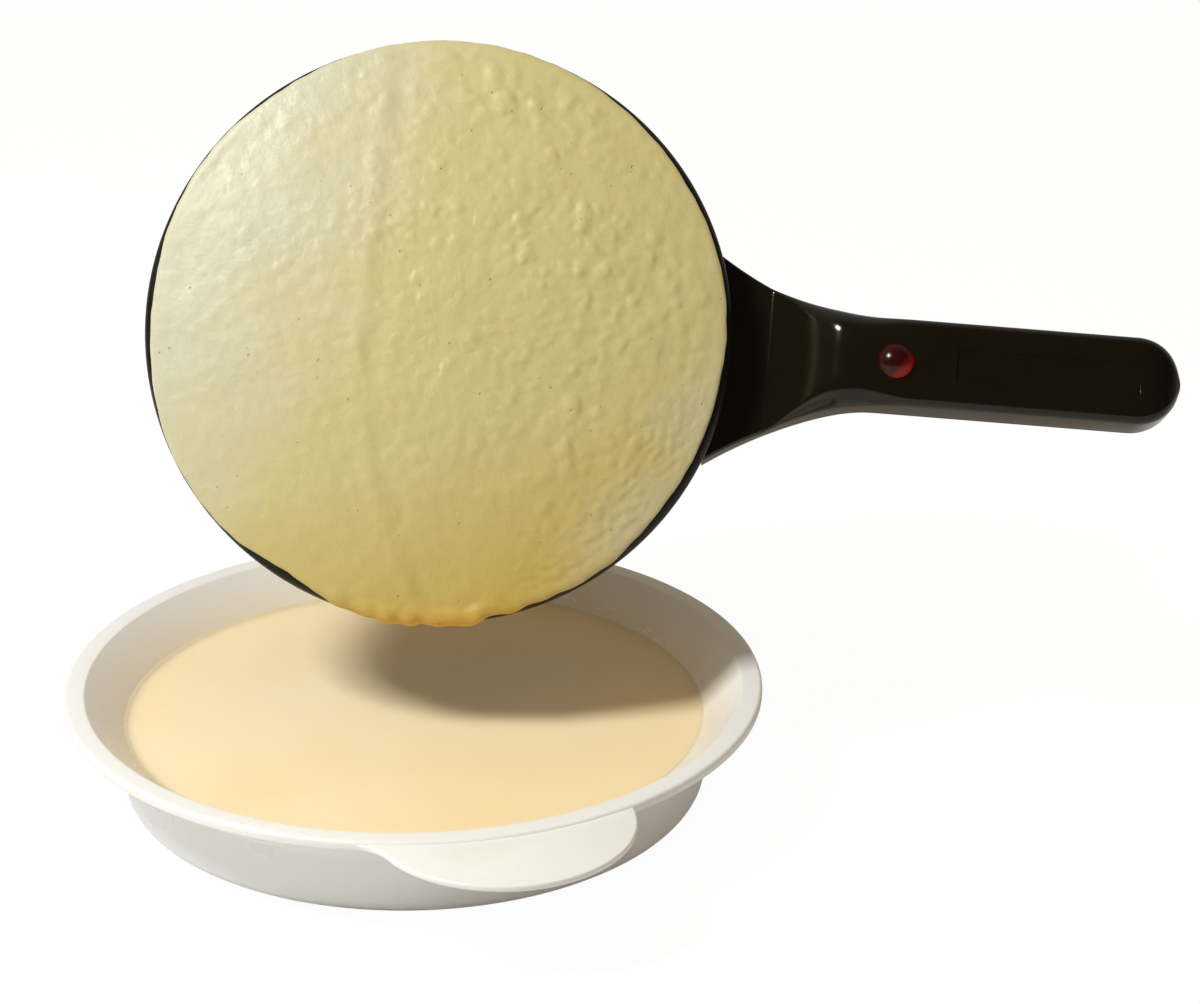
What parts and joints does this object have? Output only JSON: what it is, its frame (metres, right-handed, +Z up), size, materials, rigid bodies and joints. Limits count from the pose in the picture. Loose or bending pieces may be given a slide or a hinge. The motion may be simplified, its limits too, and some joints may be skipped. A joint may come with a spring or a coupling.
{
  "type": "electric crepe maker",
  "caption": "Hand-held electric crepe pan with a domed non-stick plate and a raised black handle, held tilted over its shallow dish of batter.",
  "frame": {"origin": "centre of the batter dish foot, on the surface it stands on", "axes": "+Z up, +X to the right along the handle, +Y away from the viewer"},
  "size_m": [0.3803, 0.2661, 0.2429],
  "materials": {
    "dish_plastic": "gloss moulded",
    "batter_cream": "wet, smooth",
    "nonstick_plate": "satin non-stick coating",
    "crepe_sheet": "half-set, blistered",
    "silicone": "matt",
    "element_sheath": "dull heat-stained",
    "ceramic_white": "unglazed",
    "nickel_pin": "plated",
    "zinc_steel": "zinc plated",
    "shield_aluminium": "mill finish",
    "phenolic": "satin phenolic",
    "black_housing": "gloss moulded",
    "black_handle": "high gloss moulded",
    "foot_rubber": "matt",
    "brass_contact": "plain",
    "red_lens": "clear red, moulded",
    "lamp_glass": "clear",
    "lead_sleeve": "silicone sleeve"
  },
  "bodies": {
    "dish": {"batter_dish": "dish_plastic", "batter": "batter_cream"},
    "pan": {"cooking_plate": "nonstick_plate", "crepe": "crepe_sheet", "rim_gasket": "silicone", "heating_element": "element_sheath", "terminal_insulators": "ceramic_white", "cold_pins": "nickel_pin", "clamp_straps": "zinc_steel", "clamp_screws": "zinc_steel", "heat_shield": "shield_aluminium", "thermostat_cup": "shield_aluminium", "thermostat_disc": "zinc_steel", "thermostat_body": "phenolic", "thermostat_tabs": "nickel_pin", "thermostat_screw": "zinc_steel", "thermal_fuse": "nickel_pin", "fuse_clip": "zinc_steel", "lower_housing": "black_housing", "handle_cover": "black_handle", "handle_screws": "zinc_steel", "housing_screws": "zinc_steel", "rubber_feet": "foot_rubber", "socket_body": "phenolic", "socket_centre_contact": "brass_contact", "socket_ring_contact": "brass_contact", "socket_screws": "zinc_steel", "lamp_lens": "red_lens", "lamp_holder": "phenolic", "neon_lamp": "lamp_glass", "lamp_resistor": "ceramic_white", "terminal_block": "ceramic_white", "terminal_clamps": "brass_contact", "supply_leads": "lead_sleeve", "element_leads": "lead_sleeve", "lamp_leads": "lead_sleeve"}
  },
  "joints": [
    {"name": "pan_lift", "type": "slide", "parent": "dish", "child": "pan", "axis": [0, 0, 1], "range_m": [0, 0.12]}
  ]
}
